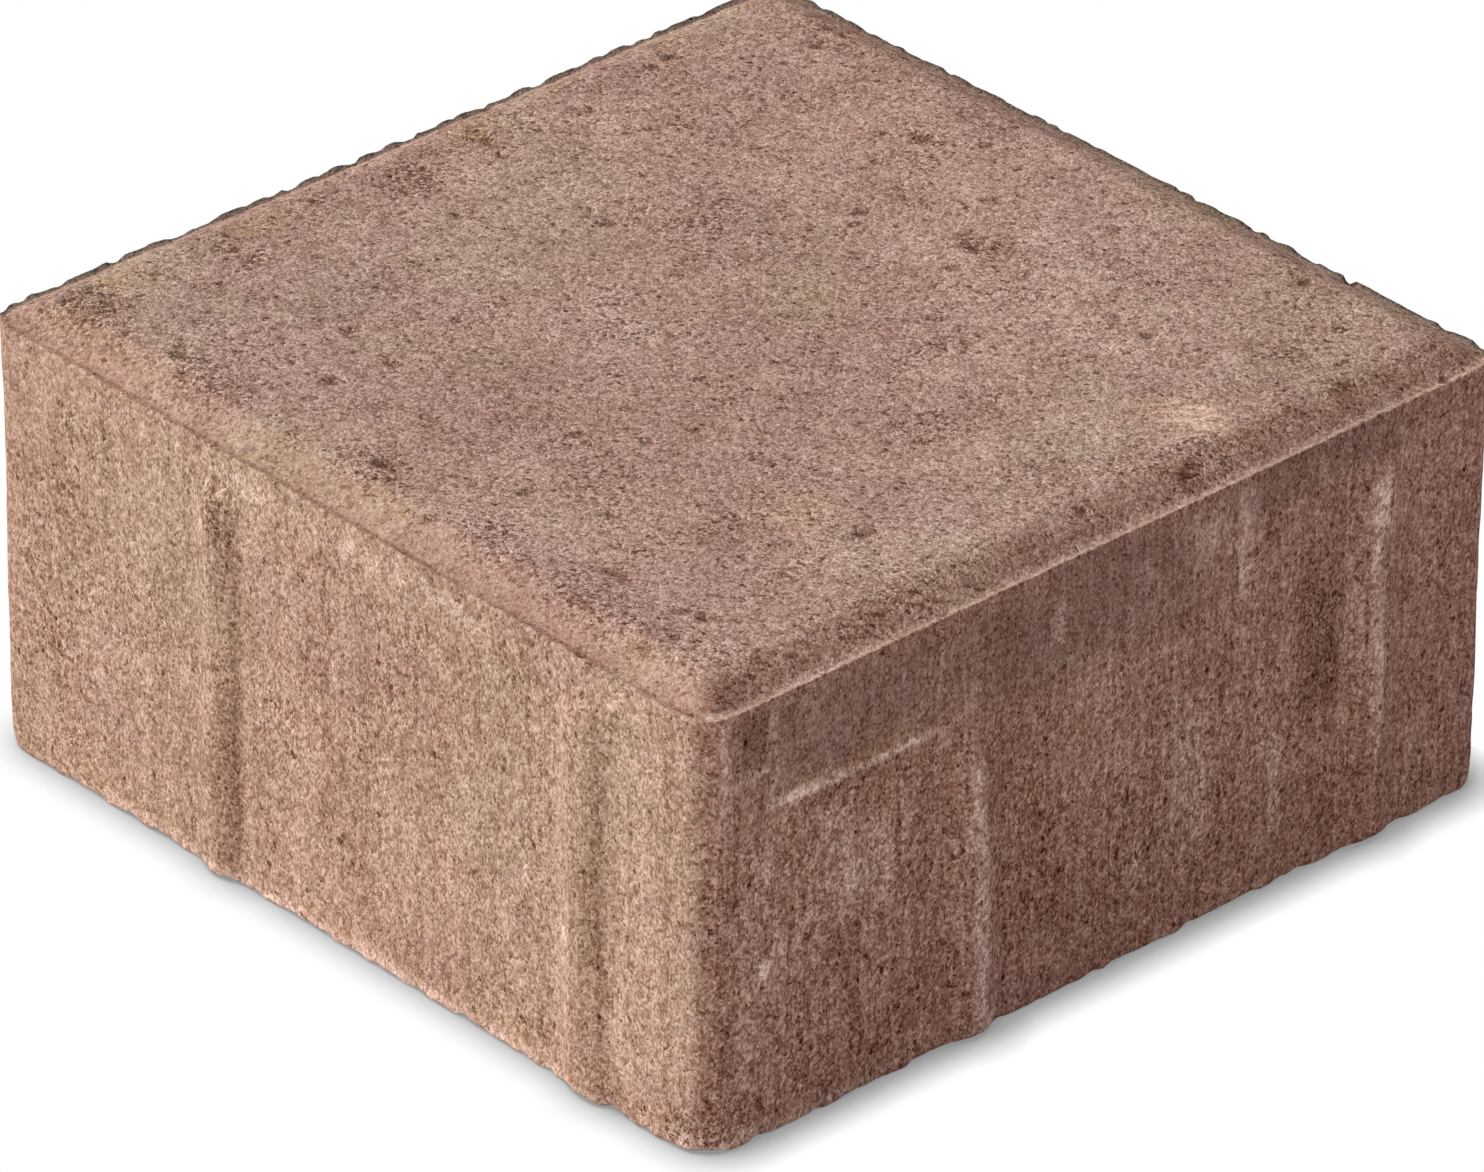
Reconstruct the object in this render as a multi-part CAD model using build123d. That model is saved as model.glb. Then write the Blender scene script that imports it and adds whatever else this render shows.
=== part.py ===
from build123d import *
import os

# Square concrete paver, pressed face up in a mould, as one solid.
# Millimetres, +Z up, origin on the underside at the middle of the plan.

# Body
SIDE = 166.0
HEIGHT = 80.0
CORNER_RADIUS = 5.5

# Chamfer round the top, with a flat ledge at its foot where the press shoe meets the mould
CHAMFER_WIDTH = 5.8
CHAMFER_DROP = 3.6
LEDGE_WIDTH = 1.1
TOP_CORNER_RADIUS = 2.0
TOP_ARRIS_RADIUS = 1.2

# Spacer ribs: upright half-round bars, each set into a side wall with a round top end
RIB_PROJECTION = 1.7
RIB_WIDTH = 9.0
RIB_TOP_BELOW_LEDGE = 5.5
# from the left end of a side, seen from outside
RIB_NEAR = 55.0
RIB_FAR = 139.5

SIDES = 4


def rounded_square(side, radius, height):
    """A square face with round corners, level, at a height above the underside."""
    return Plane.XY.offset(height) * RectangleRounded(side, side, radius)


def body():
    """The block below the ledge, and the chamfered crown on it."""
    ledge_height = HEIGHT - CHAMFER_DROP
    block = extrude(rounded_square(SIDE, CORNER_RADIUS, 0), ledge_height)
    foot_side = SIDE - 2 * LEDGE_WIDTH
    top_side = foot_side - 2 * CHAMFER_WIDTH
    foot = rounded_square(foot_side, CORNER_RADIUS - LEDGE_WIDTH, ledge_height)
    top = rounded_square(top_side, TOP_CORNER_RADIUS, HEIGHT)
    crown = loft([foot, top], ruled=True)
    top_edges = crown.faces().sort_by(Axis.Z)[-1].edges()
    return block + fillet(top_edges, TOP_ARRIS_RADIUS)


def rib():
    """One spacer rib on the wall at y = 0, facing -Y, from the underside to its round end."""
    half_width = RIB_WIDTH / 2
    bar_radius = (half_width**2 + RIB_PROJECTION**2) / (2 * RIB_PROJECTION)
    axis_depth = bar_radius - RIB_PROJECTION
    end_height = HEIGHT - CHAMFER_DROP - RIB_TOP_BELOW_LEDGE - half_width
    bar = Pos(0, axis_depth, end_height / 2) * Cylinder(bar_radius, end_height)
    return bar + Pos(0, axis_depth, end_height) * Sphere(bar_radius)


def side_ribs():
    """The two ribs of the side that faces -Y."""
    spots = [Pos(from_left - SIDE / 2, -SIDE / 2, 0) for from_left in (RIB_NEAR, RIB_FAR)]
    return [spot * rib() for spot in spots]


def paver():
    """The body with the same two ribs on each of its four sides."""
    shape = body()
    for turn in range(SIDES):
        for bar in side_ribs():
            shape += Rot(0, 0, turn * 360 / SIDES) * bar
    return shape


os.makedirs("parts", exist_ok=True)
export_step(paver(), "parts/paver.step")
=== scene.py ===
import itertools
import math

import bpy
import numpy as np
from mathutils import Matrix, Vector


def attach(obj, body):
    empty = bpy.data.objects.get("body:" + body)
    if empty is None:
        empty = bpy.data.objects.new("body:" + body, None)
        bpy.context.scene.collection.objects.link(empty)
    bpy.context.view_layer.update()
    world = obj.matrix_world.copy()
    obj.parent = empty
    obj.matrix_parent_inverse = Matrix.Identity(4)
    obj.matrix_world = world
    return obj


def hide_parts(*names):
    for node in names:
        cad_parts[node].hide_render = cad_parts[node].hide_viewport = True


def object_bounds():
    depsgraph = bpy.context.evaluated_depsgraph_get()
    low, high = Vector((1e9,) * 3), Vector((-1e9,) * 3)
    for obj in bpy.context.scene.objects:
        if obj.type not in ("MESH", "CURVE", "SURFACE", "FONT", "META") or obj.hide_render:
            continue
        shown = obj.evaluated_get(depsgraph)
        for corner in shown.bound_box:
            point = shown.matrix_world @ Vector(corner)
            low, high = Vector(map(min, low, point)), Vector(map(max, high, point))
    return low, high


# Looks of a pressed concrete paver: one dense mesh stands for the CAD block, with worn edges,
# pits and a procedural concrete material. Metres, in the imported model's frame.

MM = 0.001

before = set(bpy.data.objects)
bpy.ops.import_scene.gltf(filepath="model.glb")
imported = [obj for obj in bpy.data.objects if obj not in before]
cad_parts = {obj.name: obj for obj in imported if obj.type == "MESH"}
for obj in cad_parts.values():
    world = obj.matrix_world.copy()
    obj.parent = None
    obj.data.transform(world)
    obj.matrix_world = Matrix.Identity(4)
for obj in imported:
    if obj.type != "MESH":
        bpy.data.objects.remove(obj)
cad_low, cad_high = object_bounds()

# Sizes of the block that the box alone doesn't give
RIB_PROJECTION = 1.7 * MM
RIB_TOP_BELOW_LEDGE = 5.5 * MM
RIB_PLACES = (55.0 * MM, 139.5 * MM)
CORNER_RADIUS = 5.5 * MM
CHAMFER_WIDTH = 5.8 * MM
CHAMFER_DROP = 3.6 * MM
LEDGE_WIDTH = 1.1 * MM
TOP_CORNER_RADIUS = 2.0 * MM

HEIGHT = cad_high[2] - cad_low[2]
SIDE = cad_high[0] - cad_low[0] - 2 * RIB_PROJECTION
HALF = SIDE / 2
LEDGE_HEIGHT = HEIGHT - CHAMFER_DROP
ARRIS_INSET = LEDGE_WIDTH + CHAMFER_WIDTH

# Mesh fineness: points along a side, rows up the wall and the chamfer
COLUMNS = 176
WALL_ROWS = 74
CHAMFER_ROWS = 7
# heights of added rows, where a thin line crosses the side that faces +X
LINE_ROWS = (56.9 * MM, 57.4 * MM, 57.9 * MM, 58.4 * MM)
# rows at the foot: inset from the wall, and height
FOOT_ROWS = ((0.9 * MM, 0.0), (0.3 * MM, 0.2 * MM), (0.0, 0.9 * MM))
# the same over the ledge, with the height from the ledge
WALL_TOP_BELOW_LEDGE = 0.6 * MM
LEDGE_ROWS = (
    (0.02 * MM, -0.12 * MM), (0.3 * MM, 0.0), (0.75 * MM, 0.0), (0.95 * MM, 0.0),
    (LEDGE_WIDTH, 0.05 * MM), (1.4 * MM, 0.19 * MM),
)
# how far the chamfer sags to its rounded arris, and over which last share of it
ARRIS_SAG = 0.16 * MM
ARRIS_SAG_SHARE = 0.3
# the underside's grid: one of its points to so many of the wall's, and where it starts
BED_RATIO = 4
BED_INSET = 4.0 * MM
BED_CORNER_RADIUS = 1.5 * MM

# Worn ribs: a soft swelling, a little wider than the drawn bar
RIB_HALF_WIDTH = 5.8 * MM
RIB_SWAY = 0.5 * MM
# the rib nearest the front corner fades upward on the side that faces +X
FADED_RIB_LOSS = 0.75
FADED_RIB_HEIGHTS = (42 * MM, 56 * MM)

# Skin relief: cell of each noise layer and its depth
RELIEF_LAYERS = (
    (26 * MM, 0.16 * MM), (9 * MM, 0.11 * MM), (3.6 * MM, 0.10 * MM), (1.7 * MM, 0.10 * MM),
)
MAX_PROUD = 0.22 * MM

# Crumbs of the burr on the ledge's outer edge
BURR_HEIGHT = 0.75 * MM
BURR_REACH = 0.35 * MM
# for the sides that face -Y, +X, +Y and -X
BURR_SHARES = (0.4, 0.1, 0.65, 0.85)

# Wear of the edges: the depth that is gone, and how far from the front corner it reaches
BED_EDGE_WEAR = 0.42 * MM
ARRIS_WEAR = 0.45 * MM
FRONT_CORNER_WEAR = 2.4 * MM
FRONT_CORNER_REACH = 9 * MM

# Pits seen in the top: (x, y, radius) in millimetres
TOP_PITS = (
    (-58.6, 69.5, 1.6), (50, 73, 1.3), (18, 63, 1.2), (-24, 61, 1.5), (7, 42, 1.5), (10, 44, 1.1),
    (19, 43, 1.2), (77, 55, 1.5), (79, 20, 2.2), (-66, 27.5, 1.3), (-69, 8, 1.4), (-71, 49, 1.5),
    (-46.7, -26, 1.2), (-58.6, -36, 1.3), (-64, -44.6, 1.5), (-37, -48, 1.4), (-3, -70.6, 1.5),
    (-49, -72, 1.8), (-44, -75, 1.4), (61, -31, 1.4), (63, -65, 1.4), (63.6, -77, 1.6), (21, -29, 1.1),
    (32, -55, 1.3), (-27, -60, 1.3), (80.5, -77, 2.4),
)
# depth of a pit as a share of its radius, and how far its outline strays
PIT_DEPTH = 0.7
PIT_RAGGED = 0.7 * MM
LOOSE_PITS = 110
LOOSE_PIT_RADIUS = (0.7, 1.4)

# Marks seen on the block, painted shade and highlights among them: (kind, side, place along, place up,
# half width, half height, strength).
# Sides are numbered from the one that faces -Y, anticlockwise; the top takes x and y. Millimetres.
TOP = 4
MARKS = (
    ("light", TOP, 68, 30, 7.5, 5.5, 0.38),
    ("smooth", TOP, 68, 30, 7.5, 5.5, 0.12),
    ("light", TOP, 72, 27, 4, 4, 0.23),
    ("ochre", TOP, 68, 30, 9, 6, 0.7),
    # dark marks over pits: painted shade in their hollows
    ("dark", TOP, 8.5, 43, 5, 4, 0.4),
    ("dark", TOP, -28, -61, 3, 3, 0.55),
    ("dark", TOP, -68, 8, 3, 3, 0.6),
    ("dark", TOP, 78, 54, 3, 4, 0.6),
    ("dark", TOP, 80, 20, 2.5, 3, 0.8),
    ("dark", TOP, 50, 72, 4, 4, 0.5),
    ("dark", TOP, 20, -30, 7, 8, 0.25),
    ("grey", TOP, -48, -42, 10, 12, 0.9),
    ("grey", TOP, -12, 24, 14, 10, 0.8),
    ("grey", TOP, 2, 8, 8, 8, 0.8),
    ("grey", TOP, -58, -62, 10, 8, 0.9),
    ("grey", TOP, 58, 8, 10, 10, 0.5),
    ("ochre", TOP, -73, -36, 4, 8, 0.7),
    ("ochre", TOP, -73, 9, 4, 6, 0.7),
    ("ochre", TOP, -72, -64, 5, 6, 0.7),
    ("dark", TOP, -67, -8, 6, 7, 0.25),
    ("open", TOP, -67, -8, 6, 7, 1.0),
    ("dark", TOP, -40, -75, 9, 5, 0.2),
    ("open", TOP, -40, -75, 11, 7, 0.9),
    ("dark", TOP, -68, -73, 7, 8, 0.3),
    ("open", TOP, -70, -74, 9, 9, 1.0),
    # painted shade in a pit
    ("dark", TOP, 80, -77, 3.5, 4, 1.0),
    ("open", TOP, -3, -72, 8, 4, 0.7),
    ("open", TOP, 25, -74, 9, 5, 0.9),
    ("open", TOP, 50, -75, 12, 5, 0.8),
    ("open", TOP, 72, -73, 9, 6, 0.7),
    ("open", TOP, 76, -40, 5, 20, 0.6),
    ("open", TOP, 77, 22, 5, 12, 0.9),
    ("open", TOP, 9, 43.5, 8, 5, 1.0),
    ("open", TOP, -24, 61, 7, 4, 0.6),
    ("ochre", TOP, 4, 8, 12, 9, 0.22),
    ("ochre", TOP, 48, -35, 10, 8, 0.30),
    ("ochre", TOP, -6, -3, 6, 6, 0.25),
    ("ochre", 0, 20, 1.5, 22, 4, 0.35),
    ("ochre", 0, 112, 1.5, 54, 4, 0.35),
    ("ochre", 0, 2, 40, 4, 44, 0.2),
    ("grey", 0, 46, 50, 8, 9, 0.7),
    ("grey", 0, 120, 46, 10, 30, 0.7),
    ("grey", 0, 50, 13, 6, 14, 0.6),
    ("grey", 0, 105, 70, 12, 8, 0.5),
    # painted shade on the ribs' right flanks and a painted highlight on a left flank
    ("dark", 0, 57.2, 34, 3.2, 42, 0.40),
    ("dark", 0, 59.2, 26, 0.9, 30, 0.85),
    ("dark", 0, 56.8, 65, 2.8, 7.5, 0.55),
    ("open", 0, 56.4, 65.5, 3.4, 7, 0.9),
    ("light", 0, 52.4, 62.5, 1.2, 4.5, 0.30),
    ("dark", 0, 140.9, 36, 4.0, 40, 0.42),
    ("dark", 0, 142.6, 68, 2.4, 6.5, 0.38),
    ("dark", 0, 144.0, 36, 0.8, 36, 0.30),
    # pits in the wall: open pores with painted shade in them
    ("open", 0, 15, 26, 5, 6, 0.9),
    ("dark", 0, 15, 26, 3, 4, 0.5),
    ("open", 0, 19.5, 67, 3, 3, 0.8),
    ("open", 0, 95, 52, 4, 5, 0.9),
    ("dark", 0, 95, 52, 2.4, 2.2, 0.7),
    ("dark", 0, 62, 45, 4, 5, 0.3),
    ("open", 0, 10, 38, 4, 5, 0.6),
    ("open", 0, 68, 36, 5, 4, 0.6),
    ("open", 0, 90, 40, 6, 4, 0.6),
    ("open", 0, 30, 45, 14, 16, 0.35),
    ("light", 0, 136.4, 28, 1.3, 1.8, 0.68),
    ("light", 0, 126, 33, 1.5, 2.2, 0.30),
    ("light", 0, 80, 72.5, 70, 2.6, 0.13),
    ("light", 0, 151, 32, 6, 34, 0.10),
    ("smooth", 1, 29, 67, 25, 10.5, 1.0),
    ("smooth", 1, 76, 66, 36, 12, 0.9),
    ("smooth", 1, 125, 73, 30, 5, 0.8),
    ("dark", 1, 66, 70, 44, 7, 0.28),
    ("light", 1, 21, 57.8, 9, 0.95, 0.8),
    ("light", 1, 36, 57.4, 13, 0.85, 0.6),
    ("ochre", 1, 30, 58.4, 13, 1.8, 0.7),
    ("light", 1, 88, 52.2, 14, 0.8, 0.17),
    ("dark", 1, 30, 54.8, 20, 2.5, 0.20),
    # a small recess: grey smooth slurry in it, darkened as painted shade, with painted highlights on
    # its rims
    ("dark", 1, 9.8, 70.5, 3.6, 5.6, 1.0),
    ("smooth", 1, 9.8, 70.5, 3.9, 6.0, 0.8),
    ("grey", 1, 9.8, 70.5, 3.9, 6.0, 1.0),
    ("open", 1, 9.8, 70.5, 3.9, 6.0, 0.4),
    ("light", 1, 4.2, 69, 1.2, 9, 0.24),
    ("light", 1, 13.7, 69, 0.9, 6, 0.24),
    ("light", 1, 9, 64.2, 6, 1.1, 0.34),
    ("light", 1, 14.5, 62.5, 1.4, 4, 0.2),
    ("dark", 1, 2.5, 30, 3.2, 40, 0.32),
    ("light", 1, 12, 36, 4.5, 26, 0.11),
    # painted highlights on the ribs' left flanks
    ("light", 1, 54.4, 42, 2.0, 9, 0.46),
    ("light", 1, 55.6, 17, 1.9, 22, 0.58),
    ("light", 1, 139.2, 61.5, 2.7, 6.5, 0.66),
    ("light", 1, 138.6, 50, 1.5, 10, 0.60),
    ("light", 1, 139.4, 30, 1.6, 17, 0.52),
    ("light", 1, 111.4, 65, 1.9, 10, 0.50),
    ("light", 1, 104, 68, 6, 6, 0.17),
    ("dark", 1, 128, 42, 6, 17, 0.95),
    ("light", 1, 97, 28, 1.8, 15, 0.17),
    ("light", 1, 101.5, 25, 2.8, 14, 0.18),
    ("light", 1, 99.5, 28, 6, 17, 0.17),
    ("open", 1, 128, 42, 6, 17, 0.8),
    ("smooth", 1, 128, 42, 6, 17, 0.35),
    ("light", 1, 119, 20, 1.8, 10, 0.27),
    ("light", 1, 89, 17, 1.4, 6, 0.27),
    ("light", 1, 72, 66, 1.8, 4, 0.23),
    ("light", 1, 90, 68, 3, 3, 0.19),
    ("light", 1, 12.5, 30, 2.0, 2.8, 0.75),
    ("light", 1, 13, 46.5, 1.8, 2.4, 0.55),
    ("light", 1, 31, 40, 10, 9, 0.18),
    ("light", 1, 26, 50.5, 4, 3, 0.32),
    ("light", 1, 31, 39, 5, 4, 0.30),
    ("light", 1, 15, 1.2, 22, 2.0, 0.25),
    ("light", 1, 5, 1.4, 6, 2.0, 0.5),
    ("light", 1, 56.5, 2, 3, 3, 0.45),
    # painted light along the foot of the side that faces -Y, against the shade of its rounded edge
    ("light", 0, 83, 0.6, 82, 2.4, 0.45),
    ("light", 1, 134, 44, 3, 10, 0.15),
    ("dark", 1, 27, 27.5, 4.5, 4, 0.55),
    ("dark", 1, 79, 15, 10, 6, 0.25),
    ("dark", 1, 130, 12, 14, 7, 0.22),
    ("dark", 1, 92, 56, 12, 3, 0.15),
    ("dark", 1, 83, 75.2, 90, 1.5, 0.4),
    ("light", 0, 163, 1.8, 5, 2.6, 0.5),
    ("open", 0, 162, 4, 5, 5, 0.8),
    ("open", 1, 4, 4, 6, 5, 0.6),
    ("open", 1, 90, 24, 50, 22, 0.4),
)
# Middle value of the slow ochre and purple patches
OCHRE_SHARE = 0.45
PURPLE_START = 0.3

# The ledge line on the sides that face -Y, +X, +Y and -X: painted shade, painted highlight, grey,
# painted highlight
LEDGE_MARKS = (("dark", 2.1), ("light", 0.32), ("grey", 0.5), ("light", 0.22))
KINDS = ("dark", "light", "ochre", "grey", "smooth", "open", "crumb_and_shade")


def lattice_noise(points, cell, seed):
    """Smooth random values between -1 and 1, from a lattice of cubic cells."""
    size = 4096
    rng = np.random.default_rng(seed)
    values = rng.uniform(-1, 1, size)
    shuffle = rng.permutation(size)
    place = points / cell
    base = np.floor(place).astype(int)
    part = place - base
    part = part * part * (3 - 2 * part)
    total = np.zeros(len(points))
    for corner in itertools.product((0, 1), repeat=3):
        spot = base + corner
        key = shuffle[spot[:, 0] % size]
        key = shuffle[(key + spot[:, 1]) % size]
        key = shuffle[(key + spot[:, 2]) % size]
        total += np.prod(np.where(corner, part, 1 - part), axis=1) * values[key]
    return total


def smooth_step(value, low, high):
    """0 below low, 1 above high, and smooth between them."""
    part = np.clip((value - low) / (high - low), 0, 1)
    return part * part * (3 - 2 * part)


def band(value, start, full, fading, end):
    """1 from full to fading, 0 before start and past end, and smooth between them."""
    return smooth_step(value, start, full) * (1 - smooth_step(value, fading, end))


def square_ring(half, radius):
    """Points round a square with round corners, from its front left corner, seen from above."""
    steps = np.linspace(-half, half, COLUMNS, endpoint=False)
    edge = np.full(COLUMNS, half)
    ring = np.concatenate([
        np.stack([steps, -edge], axis=1),
        np.stack([edge, steps], axis=1),
        np.stack([-steps, edge], axis=1),
        np.stack([-edge, -steps], axis=1),
    ])
    return rounded(ring, half, radius)


def rounded(points, half, radius):
    """Draws the corner zones of a square grid in to round corners."""
    centre = np.clip(points, radius - half, half - radius)
    arm = points - centre
    longest = np.abs(arm).max(axis=1)
    length = np.linalg.norm(arm, axis=1)
    scale = np.where(length > 0, longest / np.maximum(length, 1e-12), 1)
    return centre + arm * scale[:, None]


def profile_rows():
    """Rows up the wall, over the ledge and the chamfer: (inset from the wall, height)."""
    rows = list(FOOT_ROWS)
    wall_foot = FOOT_ROWS[-1][1]
    even = np.linspace(wall_foot, LEDGE_HEIGHT - WALL_TOP_BELOW_LEDGE, WALL_ROWS)[1:]
    rows += [(0.0, height) for height in np.sort(np.concatenate([even, LINE_ROWS]))]
    rows += [(inset, LEDGE_HEIGHT + rise) for inset, rise in LEDGE_ROWS]
    for step in range(1, CHAMFER_ROWS + 1):
        part = step / CHAMFER_ROWS
        sag = ARRIS_SAG * max(0.0, part - (1 - ARRIS_SAG_SHARE)) / ARRIS_SAG_SHARE
        rows.append((LEDGE_WIDTH + CHAMFER_WIDTH * part, LEDGE_HEIGHT + CHAMFER_DROP * part - sag))
    return rows


def ring_corner_radius(inset):
    """The corner radius of the ring at an inset: the wall's at the wall, the top's inside."""
    part = np.clip((inset - LEDGE_WIDTH) / CHAMFER_WIDTH, 0, 1)
    at_ledge = CORNER_RADIUS - min(inset, LEDGE_WIDTH)
    return at_ledge + (TOP_CORNER_RADIUS - at_ledge) * part


def block_mesh():
    """The block's clean surface without ribs, closed: points, insets, places along and faces."""
    ring_size = 4 * COLUMNS
    points = []
    insets = []
    rows = profile_rows()
    for inset, height in rows:
        ring = square_ring(HALF - inset, ring_corner_radius(inset))
        points.append(np.column_stack([ring, np.full(ring_size, height)]))
        insets.append(np.full(ring_size, inset))
    alongs = [np.tile(np.arange(ring_size) * SIDE / COLUMNS, len(rows))]
    faces = []
    for row in range(len(rows) - 1):
        low, high = row * ring_size, (row + 1) * ring_size
        for step in range(ring_size):
            after = (step + 1) % ring_size
            faces.append((low + step, low + after, high + after, high + step))

    top_half = HALF - rows[-1][0]
    top_ids = grid_ids(COLUMNS, (len(rows) - 1) * ring_size, len(rows) * ring_size)
    points.append(grid_points(COLUMNS, top_half, TOP_CORNER_RADIUS, HEIGHT))
    faces += grid_faces(top_ids, upward=True)

    bed_cells = COLUMNS // BED_RATIO
    bed_half = HALF - BED_INSET
    first = len(rows) * ring_size + (COLUMNS - 1) ** 2
    bed_ring = square_ring(bed_half, BED_CORNER_RADIUS)[::BED_RATIO]
    points.append(np.column_stack([bed_ring, np.zeros(len(bed_ring))]))
    bed_ids = grid_ids(bed_cells, first, first + len(bed_ring))
    points.append(grid_points(bed_cells, bed_half, BED_CORNER_RADIUS, 0.0))
    faces += grid_faces(bed_ids, upward=False)
    faces += bed_border_faces(ring_size, first, len(bed_ring))
    points = np.concatenate(points)
    inner = points[len(rows) * ring_size:]
    insets.append(HALF - np.abs(inner[:, :2]).max(axis=1))
    alongs.append(np.zeros(len(inner)))
    return points, np.concatenate(insets), np.concatenate(alongs), faces


def bed_border_faces(ring_size, first, inner_size):
    """Triangles between the lowest ring and the coarser border of the underside's grid."""
    faces = []
    half_way = BED_RATIO // 2
    for step in range(inner_size):
        near, far = first + step, first + (step + 1) % inner_size
        outer = [(BED_RATIO * step + k) % ring_size for k in range(BED_RATIO + 1)]
        for k in range(BED_RATIO):
            faces.append((outer[k + 1], outer[k], near if k < half_way else far))
        faces.append((near, far, outer[half_way]))
    return faces


def grid_ids(cells, ring_first, inner_first):
    """Point numbers of a square grid whose border is a ring that is there already."""
    ids = np.zeros((cells + 1, cells + 1), dtype=int)
    for step in range(cells):
        ids[step, 0] = ring_first + step
        ids[cells, step] = ring_first + cells + step
        ids[cells - step, cells] = ring_first + 2 * cells + step
        ids[0, cells - step] = ring_first + 3 * cells + step
    ids[1:cells, 1:cells] = inner_first + np.arange((cells - 1) ** 2).reshape(cells - 1, cells - 1)
    return ids


def grid_points(cells, half, radius, height):
    """The inner points of such a grid, in the order of their numbers."""
    steps = np.linspace(-half, half, cells + 1)[1:-1]
    x, y = np.meshgrid(steps, steps, indexing="ij")
    flat = rounded(np.column_stack([x.ravel(), y.ravel()]), half, radius)
    return np.column_stack([flat, np.full(len(flat), height)])


def grid_faces(ids, upward):
    """Quads of such a grid, facing up or down."""
    faces = []
    cells = len(ids) - 1
    for i in range(cells):
        for j in range(cells):
            quad = (ids[i, j], ids[i + 1, j], ids[i + 1, j + 1], ids[i, j + 1])
            faces.append(tuple(int(k) for k in (quad if upward else quad[::-1])))
    return faces


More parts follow.
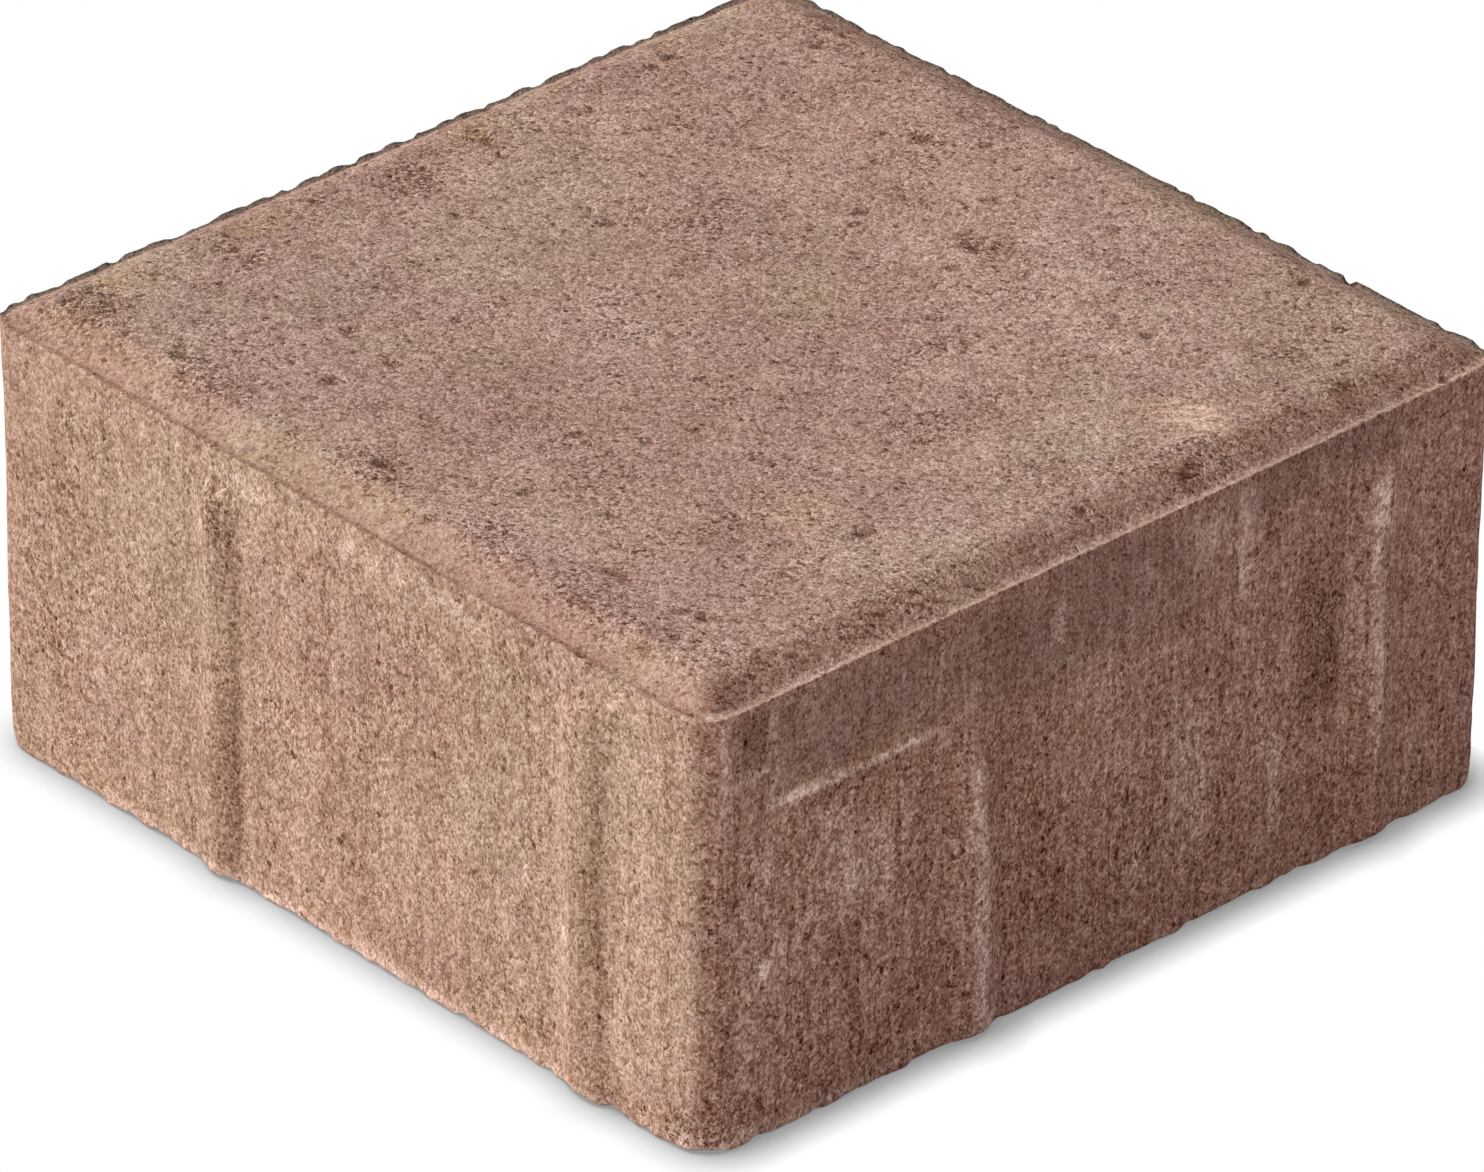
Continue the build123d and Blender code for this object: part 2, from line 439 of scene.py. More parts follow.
class Skin:
    """The clean surface's points with where each lies on the block, and what wear moves them."""

    def __init__(self, points, normals, inset, round_about):
        self.points = points
        self.normals = normals
        self.up = points[:, 2]
        self.inset = inset
        self.side = (round_about // SIDE).astype(int)
        self.along = round_about % SIDE
        self.wall = 1 - smooth_step(inset, 0.2 * MM, 0.8 * MM)
        self.wall *= smooth_step(self.up, 0.0, 0.5 * MM)
        self.outward = np.zeros_like(points)
        self.outward[:, :2] = normals[:, :2]
        length = np.linalg.norm(self.outward, axis=1)
        self.outward /= np.maximum(length, 1e-9)[:, None]

    def noise(self, cell, seed, drag=1.0):
        """Lattice noise; drag below 1 draws it out up the walls."""
        stretched = self.points * (1, 1, drag)
        return lattice_noise(stretched, cell, seed)

    def relief(self):
        """How far the rough skin stands out of the clean surface, or below 0 lies in it."""
        depth = np.zeros(len(self.points))
        for number, (cell, strength) in enumerate(RELIEF_LAYERS):
            depth += strength * self.noise(cell, seed=11 + number, drag=0.6)
        return np.minimum(depth, MAX_PROUD)

    def near_arris(self, reach):
        """1 on the chamfer's upper arris, falling off on both sides of it."""
        return np.exp(-(((self.inset - ARRIS_INSET) / reach) ** 2)) * (self.up > LEDGE_HEIGHT)

    def ribs(self):
        """How far the soft ribs stand out."""
        end = LEDGE_HEIGHT - RIB_TOP_BELOW_LEDGE - RIB_HALF_WIDTH
        above = np.maximum(self.up - end, 0)
        uneven = 1 + 0.16 * self.noise(14 * MM, seed=31) + 0.12 * self.noise(5 * MM, seed=32)
        best = np.zeros(len(self.points))
        for place in RIB_PLACES:
            wander = RIB_SWAY * self.noise(17 * MM, seed=33)
            away = np.hypot(self.along - place + wander, above) / RIB_HALF_WIDTH
            best = np.maximum(best, (1 - np.minimum(away, 1) ** 2) ** 1.5)
        best *= np.minimum(uneven, 1.05)
        faded = (self.side == 1) & (np.abs(self.along - RIB_PLACES[0]) < 2 * RIB_HALF_WIDTH)
        best *= np.where(faded, 1 - FADED_RIB_LOSS * smooth_step(self.up, *FADED_RIB_HEIGHTS), 1)
        return np.minimum(best, 1) * RIB_PROJECTION * self.wall

    def pits(self):
        """Depth of the pits, and how much each point lies in one."""
        rng = np.random.default_rng(5)
        centres = [(x * MM, y * MM, HEIGHT) for x, y, _ in TOP_PITS]
        radii = [radius for _, _, radius in TOP_PITS]
        spots = rng.choice(np.flatnonzero(self.wall < 0.1), LOOSE_PITS)
        centres += [tuple(self.points[spot]) for spot in spots]
        radii += list(rng.uniform(*LOOSE_PIT_RADIUS, LOOSE_PITS))
        depth = np.zeros(len(self.points))
        inside = np.zeros(len(self.points))
        shifts = [self.noise(1.6 * MM, seed=seed) for seed in (41, 42, 43)]
        ragged = self.points + PIT_RAGGED * np.stack(shifts, axis=1)
        for centre, radius in zip(centres, radii):
            away = np.linalg.norm(ragged - centre, axis=1) / (radius * MM)
            near = away < 1
            cup = (1 - away[near] ** 2) ** 1.2
            depth[near] = np.maximum(depth[near], cup * PIT_DEPTH * radius * MM)
            inside[near] = np.maximum(inside[near], cup)
        return depth, inside

    def burr(self):
        """Moves of the ragged burr on the ledge's outer edge."""
        at_rim = smooth_step(self.up, LEDGE_HEIGHT - 1.2 * MM, LEDGE_HEIGHT - 0.1 * MM)
        at_rim *= 1 - smooth_step(self.inset, 0.32 * MM, 0.7 * MM)
        coarse = self.noise(4.2 * MM, seed=51, drag=0.1)
        fine = self.noise(1.9 * MM, seed=52, drag=0.1)
        crumbs = np.clip(0.6 + 0.6 * coarse + 0.9 * fine, 0, 1)
        crumbs = 0.5 * crumbs + 0.5 * np.round(2.5 * crumbs) / 2.5
        crumbs *= np.array(BURR_SHARES)[self.side]
        lift = np.zeros_like(self.points)
        lift[:, 2] = at_rim * crumbs * BURR_HEIGHT
        return lift + self.outward * (at_rim * crumbs * BURR_REACH)[:, None]

    def edge_wear(self):
        """How much is gone at the underside's edge, the chamfer's arris and the front corner."""
        crumbled = 0.4 + 0.2 * self.noise(7 * MM, seed=61) + 0.9 * self.noise(2.0 * MM, seed=62)
        crumbled = np.clip(crumbled, 0, 1)
        low = 1 - smooth_step(self.up, 0.2 * MM, 3.0 * MM)
        low *= 1 - smooth_step(self.inset, 1 * MM, 3 * MM)
        toward_front = (self.side == 0) * smooth_step(self.along, 60 * MM, 150 * MM)
        wear = BED_EDGE_WEAR * (1 + 1.2 * toward_front) * low * crumbled
        chipped = 0.2 + 0.7 * self.noise(3.1 * MM, seed=63) + 0.4 * self.noise(8 * MM, seed=64)
        chipped = np.clip(chipped, 0, 1)
        arris_wear = ARRIS_WEAR * self.near_arris(1.6 * MM) * (0.35 + 0.65 * chipped)
        wear = np.maximum(wear, arris_wear)
        front = np.linalg.norm(self.points - (HALF, -HALF, 0), axis=1) / FRONT_CORNER_REACH
        gone = np.clip(1 - front, 0, 1) ** 1.2 * (0.8 + 0.35 * self.noise(2.2 * MM, seed=65))
        return np.maximum(wear, FRONT_CORNER_WEAR * gone)

    def tints(self):
        """Slow changes of colour and tone over the block, each from 0 to 1 or about 0."""
        east = self.normals[:, 0]
        ochre = 0.85 * self.noise(30 * MM, seed=83) + 0.6 * self.noise(13 * MM, seed=84)
        ochre = OCHRE_SHARE + ochre * (1 - 0.2 * self.wall)
        # less ochre on the side that faces +X, part of its painted shade
        ochre *= 1 - 0.7 * smooth_step(east, 0.3, 0.8)
        purple = PURPLE_START + 0.85 * self.noise(19 * MM, seed=85) + 0.55 * self.noise(8 * MM, seed=86)
        upright = self.noise(11 * MM, seed=87, drag=0.18) * self.wall
        tone = 0.5 * self.noise(22 * MM, seed=88) + 0.5 * self.noise(9 * MM, seed=89)
        tone += 0.6 * self.noise(4.2 * MM, seed=90, drag=0.6) + 0.5 * upright
        tone *= 1.25 - 0.45 * self.wall
        # the chamfers on the far sides stay nearer to the top's colour
        far = np.maximum(smooth_step(self.normals[:, 1], 0.3, 0.5), smooth_step(-east, 0.3, 0.5))
        tan = self.edge_share()
        return {
            "tan": tan * (1 - 0.5 * far),
            "hue_ochre": np.clip(ochre, 0, 1),
            "hue_purple": np.clip(purple, 0, 1),
            "tone": tone,
            # the side that faces +X is tinted redder as painted shade
            "shaded_side_red": smooth_step(east, 0.25, 0.85),
            "shade": smooth_step(east, 0.5, 0.95),
            "contrast": self.contrast(tan, far),
        }

    def edge_share(self):
        """1 on the walls and the chamfer, 0 on the top, with an uneven border at the arris."""
        across = self.inset - ARRIS_INSET
        border = 1.6 * MM * self.noise(7 * MM, seed=81) + 0.8 * MM * self.noise(2.5 * MM, seed=82)
        return 1 - smooth_step(across + border, -1.5 * MM, 1.5 * MM)

    def contrast(self, tan, far):
        """How strongly the grain shows: less on the chamfer, more on the side that faces +X."""
        east = self.normals[:, 0]
        calm = 0.32 * tan * (1 - smooth_step(east, 0.3, 0.5)) * (1 - self.wall)
        near_front = (self.side == 1) * (1 - smooth_step(self.along, 35 * MM, 60 * MM))
        near_front *= 1 - smooth_step(self.up, 50 * MM, 58 * MM)
        even = (self.side == 0) * self.wall * (1 - smooth_step(self.along, 25 * MM, 50 * MM))
        amount = 1 - calm * (1 - 1.8 * far)
        amount += smooth_step(east, 0.5, 0.95) * (0.15 + 0.16 * near_front)
        return amount - 0.16 * even * smooth_step(self.up, 35 * MM, 50 * MM)

    def marks(self):
        """Strength of each kind of mark at each point."""
        found = {kind: np.zeros(len(self.points)) for kind in KINDS}
        self.add_placed_marks(found)
        self.add_ledge_marks(found)
        near = self.near_arris(2.2 * MM)
        clusters = np.clip(0.2 + 1.1 * self.noise(6 * MM, seed=72), 0, 1)
        found["open"] = np.maximum(found["open"], 0.8 * near * clusters)
        found["ochre"] = np.maximum(found["ochre"], 0.35 * near * clusters)
        loose = np.clip(self.noise(9 * MM, seed=73) * 1.6 - 0.55, 0, 1)
        found["open"] = np.maximum(found["open"], 0.6 * loose)
        rim = smooth_step(self.up, LEDGE_HEIGHT - 0.9 * MM, LEDGE_HEIGHT - 0.1 * MM)
        rim *= 1 - smooth_step(self.inset, 0.4 * MM, 1.1 * MM)
        # the burr's crumbs on the far sides, painted dark as the shade on them
        found["crumb_and_shade"] = rim * (self.side >= 2)
        return found

    def add_placed_marks(self, found):
        """The marks of the list, with outlines that stray a little."""
        x, y, _ = self.points.T
        on_top = self.inset > LEDGE_WIDTH
        sway = 1.2 * MM * self.noise(5 * MM, seed=71)
        for kind, side, along, up, half_width, half_height, strength in MARKS:
            if side == TOP:
                across = (x + sway - along * MM) / (half_width * MM)
                level = (y - sway - up * MM) / (half_height * MM)
                here = on_top & (self.up > LEDGE_HEIGHT)
            else:
                # narrow and low marks stray less
                fit = min(1.0, half_width / 6)
                across = (self.along + sway * fit - along * MM) / (half_width * MM)
                level = (self.up + sway * min(1.0, half_height / 6) - up * MM) / (half_height * MM)
                here = (self.side == side) & ~on_top
            away = np.sqrt(across**2 + level**2) if side == TOP else (across**4 + level**4) ** 0.25
            amount = strength * (1 - smooth_step(away, 0.3, 1.25)) * here
            found[kind] = np.maximum(found[kind], amount)

    def add_ledge_marks(self, found):
        """The line that the ledge draws on each side, painted shade where dark and painted highlight
        where light, broken where it is dark.
        """
        upper = self.up > LEDGE_HEIGHT / 2
        wide = band(self.inset, 0.2 * MM, 0.3 * MM, 1.1 * MM, 2.2 * MM)
        thin = band(self.inset, 0.75 * MM, 0.95 * MM, 1.1 * MM, 1.4 * MM)
        foot = band(self.inset, 0.3 * MM, 0.95 * MM, 1.4 * MM, 3.6 * MM)
        broken = 0.55 + 0.8 * self.noise(8 * MM, seed=74) + 0.7 * self.noise(2.6 * MM, seed=75)
        broken = np.clip(broken, 0, 1)
        for side, (kind, strength) in enumerate(LEDGE_MARKS):
            line = thin * broken + 0.13 * foot if kind == "dark" else wide * (0.85 + 0.15 * broken)
            found[kind] = np.maximum(found[kind], line * upper * (self.side == side) * strength)


def make_block():
    """The block's mesh with all its wear, and the values on it that the material reads."""
    points, insets, alongs, faces = block_mesh()
    mesh = bpy.data.meshes.new("paver_block")
    mesh.from_pydata(points.tolist(), [], faces)
    mesh.update()
    normals = np.zeros(len(points) * 3)
    mesh.vertices.foreach_get("normal", normals)
    normals = normals.reshape(-1, 3)
    skin = Skin(points, normals, insets, alongs)
    pit_depth, in_pit = skin.pits()
    moved = points + normals * (skin.relief() - pit_depth - skin.edge_wear())[:, None]
    moved += skin.outward * skin.ribs()[:, None] + skin.burr()
    bed = (points[:, 2] < 1e-6) & (skin.inset > 2 * MM)
    moved[bed, 2] = np.maximum(moved[bed, 2], 0)
    moved = np.clip(moved, np.array(cad_low), np.array(cad_high))
    mesh.vertices.foreach_set("co", moved.ravel())
    mesh.polygons.foreach_set("use_smooth", [True] * len(mesh.polygons))
    values = skin.marks()
    values["wall"] = skin.wall
    values["pit"] = in_pit * (1 - 0.65 * skin.wall)
    values.update(skin.tints())
    for name, amounts in values.items():
        field = mesh.attributes.new(name, "FLOAT", "POINT")
        field.data.foreach_set("value", amounts.astype(np.float32))
    mesh.update()
    block = bpy.data.objects.new("paver_block", mesh)
    bpy.context.collection.objects.link(block)
    return block


class Graph:
    """A material's node tree, with one short call for each kind of node that is used."""

    def __init__(self, name):
        self.material = bpy.data.materials.new(name)
        self.material.use_nodes = True
        self.tree = self.material.node_tree
        self.shader = self.tree.nodes["Principled BSDF"]
        self.place = self.node("ShaderNodeTexCoord").outputs["Object"]

    def node(self, kind, **settings):
        made = self.tree.nodes.new(kind)
        for key, value in settings.items():
            setattr(made, key, value)
        return made

    def feed(self, socket, value):
        """Links a socket to a socket, or writes a number or colour on it."""
        if isinstance(value, bpy.types.NodeSocket):
            self.tree.links.new(value, socket)
        else:
            socket.default_value = value

    def attribute(self, name):
        return self.node("ShaderNodeAttribute", attribute_name=name).outputs["Fac"]

    def math(self, operation, first, second=0.0, third=0.0):
        made = self.node("ShaderNodeMath", operation=operation)
        for socket, value in zip(made.inputs, (first, second, third)):
            self.feed(socket, value)
        return made.outputs[0]

    def drawn_out(self, share):
        """Places for a texture that is drawn out upright where the share is below 1."""
        factors = self.node("ShaderNodeCombineXYZ")
        factors.inputs[0].default_value = 1
        factors.inputs[1].default_value = 1
        self.feed(factors.inputs[2], share)
        stretched = self.node("ShaderNodeVectorMath", operation="MULTIPLY")
        self.feed(stretched.inputs[0], self.place)
        self.feed(stretched.inputs[1], factors.outputs[0])
        return stretched.outputs[0]

    def limited(self, value):
        """A value kept between 0 and 1."""
        made = self.node("ShaderNodeClamp")
        self.feed(made.inputs["Value"], value)
        return made.outputs[0]

    def centred(self, value, spread):
        """A value between 0 and 1 as one round 0, with its full spread given."""
        return self.math("MULTIPLY_ADD", value, spread, -spread / 2)

    def noise(self, size, detail, place):
        """Noise between 0 and 1 with features about as large as size, in metres."""
        made = self.node("ShaderNodeTexNoise")
        self.feed(made.inputs["Vector"], place)
        made.inputs["Scale"].default_value = 1 / size
        made.inputs["Detail"].default_value = detail
        return made.outputs["Fac"]

    def grains(self, size, place):
        """Two random values for each grain of about a size, and the distance from its middle."""
        made = self.node("ShaderNodeTexVoronoi")
        self.feed(made.inputs["Vector"], place)
        made.inputs["Scale"].default_value = 1 / size
        split = self.node("ShaderNodeSeparateColor")
        self.feed(split.inputs[0], made.outputs["Color"])
        return split.outputs[0], split.outputs[1], made.outputs["Distance"]

    def mix(self, amount, first, second, blend="MIX"):
        # of this node's sockets for each kind of data, 6 and 7 take colours and 2 gives one
        made = self.node("ShaderNodeMix", data_type="RGBA", blend_type=blend)
        self.feed(made.inputs["Factor"], amount)
        self.feed(made.inputs[6], first)
        self.feed(made.inputs[7], second)
        return made.outputs[2]

    def tinted(self, amount, colour, tint):
        """A colour multiplied by a tint, by an amount between 0 and 1."""
        return self.mix(amount, colour, self.mix(1.0, colour, tint, "MULTIPLY"))

    def power(self, colour, exponent):
        made = self.node("ShaderNodeGamma")
        self.feed(made.inputs["Color"], colour)
        made.inputs["Gamma"].default_value = exponent
        return made.outputs[0]

    def lift(self, colour, amount):
        """A colour with all channels raised alike as a screen shows them: lighter is paler."""
        raised = self.node("ShaderNodeVectorMath", operation="ADD")
        self.feed(raised.inputs[0], self.power(colour, 1 / SCREEN_GAMMA))
        self.feed(raised.inputs[1], amount)
        kept = self.node("ShaderNodeVectorMath", operation="MAXIMUM")
        self.feed(kept.inputs[0], raised.outputs[0])
        kept.inputs[1].default_value = (DARKEST, DARKEST, DARKEST)
        return self.power(kept.outputs[0], SCREEN_GAMMA)

    def dim(self, colour, value):
        """A colour times a number."""
        made = self.node("ShaderNodeVectorMath", operation="SCALE")
        self.feed(made.inputs[0], colour)
        self.feed(made.inputs["Scale"], value)
        return made.outputs[0]


# Colours are lifted as a screen shows them, and none falls below the darkest value there
SCREEN_GAMMA = 2.2
DARKEST = 0.05

# Colours of the concrete, linear
PINK_BROWN = (0.448, 0.277, 0.225, 1)
OCHRE_BROWN = (0.436, 0.299, 0.229, 1)
PURPLE_BROWN = (0.415, 0.250, 0.215, 1)
PURPLE_SHARE = 0.8
COLOUR_GAIN = 1.07
TAN_TINT = (0.985, 0.965, 0.91, 1)
# painted shade: the redder tint of the side that faces +X
SHADED_SIDE_RED_TINT = (0.99, 0.855, 0.89, 1)
WALL_TINT = (0.985, 0.99, 0.937, 1)
COOL_GRAIN = (0.96, 1.0, 1.04, 1)
WARM_GRAIN = (1.04, 1.0, 0.95, 1)
# crumbs of the far burr with painted shade on them
CRUMB_AND_SHADE = (0.080, 0.071, 0.058, 1)
# dark and light marks serve stains and pale patches, and also painted shade and painted highlights
DARK_MARK = (0.70, 0.61, 0.58, 1)
OCHRE_MARK = (1.04, 1.02, 0.80, 1)
GREY_MARK = (0.94, 1.01, 0.98, 1)
SMOOTH_MARK = (0.285, 0.165, 0.127, 1)
LIGHT_MARK = (0.90, 0.63, 0.53, 1)

# Sizes of the grains and of the patterns between them
SAND_SIZE = 0.33 * MM
GRIT_SIZE = 0.68 * MM
BLOTCH_SIZE = 1.5 * MM
STREAK_SIZE = 0.7 * MM
SCRAPE_SIZE = 1.6 * MM
# the factor on the height that draws each out upright on the walls
WALL_DRAG = 0.75
STREAK_DRAG = 0.11
SCRAPE_DRAG = 0.035

# Share of each pattern in the tone
SAND_TONE = 0.96
GRIT_TONE = 0.58
BLOTCH_TONE = 0.66
WALL_TONE_LOSS = -0.02
STREAK_TONE = 0.3
STREAK_TONE_SHADED = 0.35
SCRAPE_TONE = 0.55
SLOW_TONE = 0.17
# how far the tone, a pore and an open place lift the colour
TONE_LIFT = 0.245
PORE_LIFT = -0.175
OPEN_LIFT = 0.022
# what smooth and open places add to the grain's contrast
SMOOTH_CONTRAST = -0.3
OPEN_CONTRAST = 0.2

# Share of the grains that are missing and leave a pore, and what raises it
PORES = 0.14
PORES_BLOTCH = -0.16
PORES_OPEN = 0.22
PORES_PIT = 0.7
# the same for the grit: a share of the sand's limit, and what is added to that
LARGE_PORES = 0.6
LARGE_PORES_WALL = -0.5
LARGE_PORES_OPEN = 0.07
LARGE_PORES_PIT = 0.65
# strength of a pore in the sand, of any pore at most, and of a pit's own shade
SMALL_PORE = 0.8
STRONGEST_PORE = 1.15
PIT_SHADE = 0.08

# Fine relief and finish
GRAIN_RELIEF = -0.35
BLOTCH_RELIEF = 0.6
PORE_RELIEF = -0.5
BUMP_DEPTH = 0.28 * MM
BUMP_STRENGTH = 0.9
ROUGHNESS = 0.92
SPECULAR = 0.1


class Grain:
    """The random patterns that the colour, the pores and the fine relief share."""

    def __init__(self, graph):
        # the mould draws the grain of the walls out upright
        self.on_wall = graph.math("GREATER_THAN", graph.attribute("wall"), 0.5)
        place = graph.drawn_out(graph.math("MULTIPLY_ADD", self.on_wall, WALL_DRAG - 1, 1.0))
        self.blotch = graph.noise(BLOTCH_SIZE, detail=1, place=place)
        self.streak = graph.noise(STREAK_SIZE, detail=0.5, place=graph.drawn_out(STREAK_DRAG))
        self.scrape = graph.noise(SCRAPE_SIZE, detail=1, place=graph.drawn_out(SCRAPE_DRAG))
        self.sand, self.sand_hue, self.sand_edge = graph.grains(SAND_SIZE, place)
        self.grit, self.grit_hue, self.grit_edge = graph.grains(GRIT_SIZE, place)
        self.uneven = graph.math("ADD", graph.centred(self.blotch, 1.6), graph.centred(self.grit, 0.8))


def mark_strength(graph, grain, name, ragged=1.0):
    """A mark's strength, made uneven by blotches and grains."""
    spread = graph.math("MULTIPLY_ADD", grain.uneven, ragged, 1.0)
    return graph.limited(graph.math("MULTIPLY", graph.attribute(name), spread))


def ground_colour(graph, grain, smooth):
    """The concrete's slow colours with the marks on them, painted shade and highlights among them,
    before grains and pores.
    """
    colour = graph.mix(graph.attribute("hue_ochre"), PINK_BROWN, OCHRE_BROWN)
    purple = graph.math("MULTIPLY", graph.attribute("hue_purple"), PURPLE_SHARE)
    colour = graph.mix(purple, colour, PURPLE_BROWN)
    colour = graph.tinted(graph.attribute("tan"), colour, TAN_TINT)
    colour = graph.tinted(grain.on_wall, colour, WALL_TINT)
    # painted shade: the side that faces +X turns redder
    colour = graph.tinted(graph.attribute("shaded_side_red"), colour, SHADED_SIDE_RED_TINT)
    colour = graph.tinted(mark_strength(graph, grain, "grey"), colour, GREY_MARK)
    colour = graph.tinted(mark_strength(graph, grain, "ochre"), colour, OCHRE_MARK)
    colour = graph.mix(graph.math("MULTIPLY", smooth, 0.85), colour, SMOOTH_MARK)
    colour = graph.tinted(mark_strength(graph, grain, "dark"), colour, DARK_MARK)
    colour = graph.mix(mark_strength(graph, grain, "light", 0.6), colour, LIGHT_MARK)
    # the far burr's crumbs, darkened as painted shade
    crumb_and_shade = graph.math("MULTIPLY", mark_strength(graph, grain, "crumb_and_shade", 0.4), 0.9)
    colour = graph.dim(graph.mix(crumb_and_shade, colour, CRUMB_AND_SHADE), COLOUR_GAIN)
    return graph.mix(1.0, colour, graph.mix(grain.grit_hue, COOL_GRAIN, WARM_GRAIN), "MULTIPLY")


def grain_tone(graph, grain, contrast):
    """How much lighter or darker each spot is than the colour round it."""
    tone = graph.centred(grain.sand, SAND_TONE)
    tone = graph.math("ADD", tone, graph.centred(grain.grit, GRIT_TONE))
    tone = graph.math("ADD", tone, graph.centred(grain.blotch, BLOTCH_TONE))
    tone = graph.math("MULTIPLY_ADD", grain.on_wall, graph.math("MULTIPLY", tone, WALL_TONE_LOSS), tone)
    streaky = graph.math("MULTIPLY_ADD", graph.attribute("shade"), STREAK_TONE_SHADED, STREAK_TONE)
    streaky = graph.math("MULTIPLY", streaky, grain.on_wall)
    tone = graph.math("MULTIPLY_ADD", graph.math("SUBTRACT", grain.streak, 0.5), streaky, tone)
    scraped = graph.math("MULTIPLY", graph.math("SUBTRACT", grain.scrape, 0.5), grain.on_wall)
    tone = graph.math("MULTIPLY_ADD", scraped, SCRAPE_TONE, tone)
    tone = graph.math("MULTIPLY_ADD", graph.attribute("tone"), SLOW_TONE, tone)
    return graph.math("MULTIPLY", tone, contrast)


def pore_depth(graph, grain, contrast, open_share):
    """Gaps where a grain is missing, thicker in open places and in the pits."""
    pit = graph.attribute("pit")
    limit = graph.math("MULTIPLY_ADD", grain.blotch, PORES_BLOTCH, PORES)
    limit = graph.math("MULTIPLY_ADD", open_share, PORES_OPEN, limit)
    limit = graph.math("MULTIPLY_ADD", pit, PORES_PIT, limit)
    small = graph.math("LESS_THAN", grain.sand_hue, limit)
    share = graph.math("MULTIPLY_ADD", grain.on_wall, LARGE_PORES_WALL, LARGE_PORES)
    large_limit = graph.math("MULTIPLY", limit, share)
    large_limit = graph.math("MULTIPLY_ADD", open_share, LARGE_PORES_OPEN, large_limit)
    large_limit = graph.math("MULTIPLY_ADD", pit, LARGE_PORES_PIT, large_limit)
    large = graph.math("LESS_THAN", grain.grit_hue, large_limit)
    pore = graph.math("MAXIMUM", graph.math("MULTIPLY", small, SMALL_PORE), large)
    pore = graph.math("MULTIPLY", pore, graph.math("MINIMUM", contrast, STRONGEST_PORE))
    return graph.math("MAXIMUM", pore, graph.math("MULTIPLY", pit, PIT_SHADE))


def grain_bump(graph, grain, contrast, pore):
    """The surface turned by the fine relief of grains, blotches and pores."""
    height = graph.math("MULTIPLY", grain.sand_edge, GRAIN_RELIEF)
    height = graph.math("MULTIPLY_ADD", grain.grit_edge, GRAIN_RELIEF, height)
    height = graph.math("MULTIPLY_ADD", grain.blotch, BLOTCH_RELIEF, height)
    height = graph.math("MULTIPLY_ADD", pore, PORE_RELIEF, height)
    bump = graph.node("ShaderNodeBump")
    bump.inputs["Distance"].default_value = BUMP_DEPTH
    graph.feed(bump.inputs["Strength"], graph.math("MULTIPLY", contrast, BUMP_STRENGTH))
    graph.feed(bump.inputs["Height"], height)
    return bump.outputs[0]


def concrete_material():
    graph = Graph("concrete")
    grain = Grain(graph)
    open_share = graph.attribute("open")
    smooth = mark_strength(graph, grain, "smooth", 0.3)
    contrast = graph.math("MULTIPLY_ADD", smooth, SMOOTH_CONTRAST, graph.attribute("contrast"))
    contrast = graph.math("MULTIPLY_ADD", open_share, OPEN_CONTRAST, contrast)
    tone = grain_tone(graph, grain, contrast)
    pore = pore_depth(graph, grain, contrast, open_share)
    change = graph.math("MULTIPLY_ADD", pore, PORE_LIFT, graph.math("MULTIPLY", tone, TONE_LIFT))
    change = graph.math("MULTIPLY_ADD", open_share, OPEN_LIFT, change)
    colour = graph.lift(ground_colour(graph, grain, smooth), change)
    graph.feed(graph.shader.inputs["Base Color"], colour)
    graph.feed(graph.shader.inputs["Normal"], grain_bump(graph, grain, contrast, pore))
    graph.shader.inputs["Roughness"].default_value = ROUGHNESS
    graph.shader.inputs["Specular IOR Level"].default_value = SPECULAR
    return graph.material


# The photograph's camera, fitted to the block's edges there: degrees, metres and millimetres of lens
CAMERA_AZIMUTH = 47.478
CAMERA_ELEVATION = 30.55
CAMERA_ROLL = 0.369
CAMERA_DISTANCE = 1.8802
AIM_ACROSS = 0.356 * MM
AIM_UP = 27.38 * MM
SENSOR_WIDTH = 36
LENS = 288.95


def add_camera():
    azimuth, elevation = math.radians(CAMERA_AZIMUTH), math.radians(CAMERA_ELEVATION)
    roll = math.radians(CAMERA_ROLL)
    back = Vector((
        math.sin(azimuth) * math.cos(elevation),
        -math.cos(azimuth) * math.cos(elevation),
        math.sin(elevation),
    ))
    right = Vector((0, 0, 1)).cross(back).normalized()
    up = back.cross(right)
    across = right * math.cos(roll) + up * math.sin(roll)
    above = up * math.cos(roll) - right * math.sin(roll)
    data = bpy.data.cameras.new("camera")
    data.sensor_width = SENSOR_WIDTH
    data.lens = LENS
    camera = bpy.data.objects.new("camera", data)
    turn = Matrix((across, above, back)).transposed()
    place = back * CAMERA_DISTANCE + across * AIM_ACROSS + above * AIM_UP
    camera.matrix_world = Matrix.Translation(place) @ turn.to_4x4()
    bpy.context.collection.objects.link(camera)
    bpy.context.scene.camera = camera


def add_sun(name, strength, towards, softness):
    """A lamp far away, in the direction towards, as wide in the sky as softness says."""
    data = bpy.data.lights.new(name, "SUN")
    data.energy = strength
    data.angle = math.radians(softness)
    lamp = bpy.data.objects.new(name, data)
    lamp.rotation_euler = Vector(towards).to_track_quat("Z", "Y").to_euler()
    bpy.context.collection.objects.link(lamp)


# How the camera sees the floor: white, and darker close to the block. The direction that its
# openness is felt for leans to the lamps, which leaves the shadow paler on their side.
FLOOR_HALF = 6.0
FLOOR_GREY = (0.7, 0.7, 0.7, 1)
CONTACT_REACH = 7.3 * MM
CONTACT_TOWARDS = (-0.25, -0.35, 0.9)
CONTACT_OPEN = 0.4
CONTACT_SHADE = 0.28
CONTACT_SAMPLES = 8


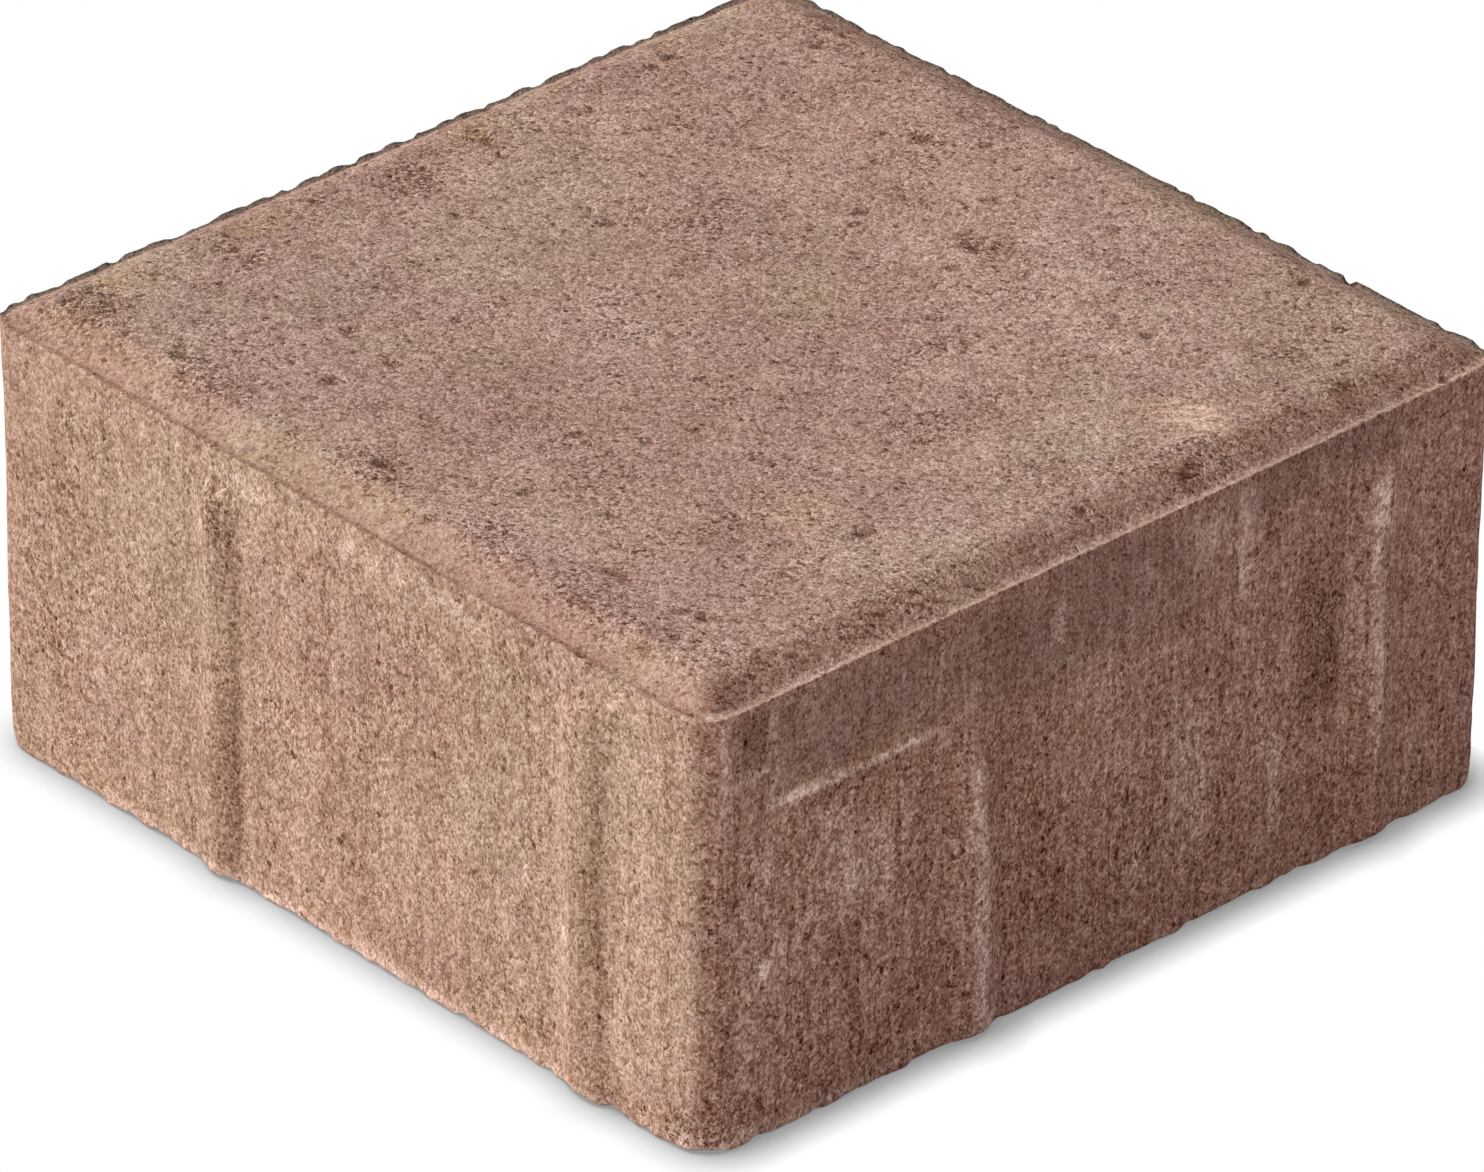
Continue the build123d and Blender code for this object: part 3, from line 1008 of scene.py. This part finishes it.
def background_seen(nodes, links):
    """1 for the rays that show the background: straight, mirrored or let through."""
    path = nodes.new("ShaderNodeLightPath")
    either = nodes.new("ShaderNodeMath")
    either.operation = "MAXIMUM"
    links.new(path.outputs["Is Camera Ray"], either.inputs[0])
    links.new(path.outputs["Is Glossy Ray"], either.inputs[1])
    seen = nodes.new("ShaderNodeMath")
    seen.operation = "MAXIMUM"
    links.new(either.outputs[0], seen.inputs[0])
    links.new(path.outputs["Is Transmission Ray"], seen.inputs[1])
    return seen.outputs[0]


def add_floor():
    mesh = bpy.data.meshes.new("floor")
    corners = [(x * FLOOR_HALF, y * FLOOR_HALF, 0) for x, y in ((-1, -1), (1, -1), (1, 1), (-1, 1))]
    mesh.from_pydata(corners, [], [(0, 1, 2, 3)])
    floor = bpy.data.objects.new("floor", mesh)
    bpy.context.collection.objects.link(floor)
    material = bpy.data.materials.new("floor")
    material.use_nodes = True
    nodes, links = material.node_tree.nodes, material.node_tree.links
    nodes.remove(nodes["Principled BSDF"])
    plain = nodes.new("ShaderNodeBsdfDiffuse")
    plain.inputs["Color"].default_value = FLOOR_GREY
    closeness = nodes.new("ShaderNodeAmbientOcclusion")
    closeness.inputs["Distance"].default_value = CONTACT_REACH
    closeness.samples = CONTACT_SAMPLES
    lean = nodes.new("ShaderNodeCombineXYZ")
    for socket, part in zip(lean.inputs, Vector(CONTACT_TOWARDS).normalized()):
        socket.default_value = part
    links.new(lean.outputs[0], closeness.inputs["Normal"])
    contact = nodes.new("ShaderNodeMapRange")
    contact.inputs["From Min"].default_value = CONTACT_OPEN
    contact.inputs["From Max"].default_value = 1.0
    contact.inputs["To Min"].default_value = CONTACT_SHADE
    seen = nodes.new("ShaderNodeEmission")
    mix = nodes.new("ShaderNodeMixShader")
    links.new(closeness.outputs["AO"], contact.inputs["Value"])
    links.new(contact.outputs[0], seen.inputs["Strength"])
    links.new(background_seen(nodes, links), mix.inputs["Fac"])
    links.new(plain.outputs[0], mix.inputs[1])
    links.new(seen.outputs[0], mix.inputs[2])
    links.new(mix.outputs[0], nodes["Material Output"].inputs["Surface"])
    floor.data.materials.append(material)


# Light: the world's strength, and each lamp's strength, direction and width in the sky
WHITE = (1, 1, 1, 1)
AMBIENT = 0.37
KEY = (2.75, (-0.64, -0.55, 0.54), 30)
FRONT = (0.45, (0.16, -0.92, 0.36), 20)


def add_studio():
    scene = bpy.context.scene
    scene.view_settings.view_transform = "Standard"
    world = bpy.data.worlds.new("studio")
    world.use_nodes = True
    nodes, links = world.node_tree.nodes, world.node_tree.links
    ambient = nodes["Background"]
    ambient.inputs["Color"].default_value = WHITE
    ambient.inputs["Strength"].default_value = AMBIENT
    white = nodes.new("ShaderNodeBackground")
    white.inputs["Color"].default_value = WHITE
    mix = nodes.new("ShaderNodeMixShader")
    links.new(background_seen(nodes, links), mix.inputs["Fac"])
    links.new(ambient.outputs[0], mix.inputs[1])
    links.new(white.outputs[0], mix.inputs[2])
    links.new(mix.outputs[0], nodes["World Output"].inputs["Surface"])
    scene.world = world
    add_sun("key", *KEY)
    add_sun("front", *FRONT)


block = make_block()
block.data.materials.append(concrete_material())
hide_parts("paver")
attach(block, "root")
add_camera()
add_studio()
add_floor()
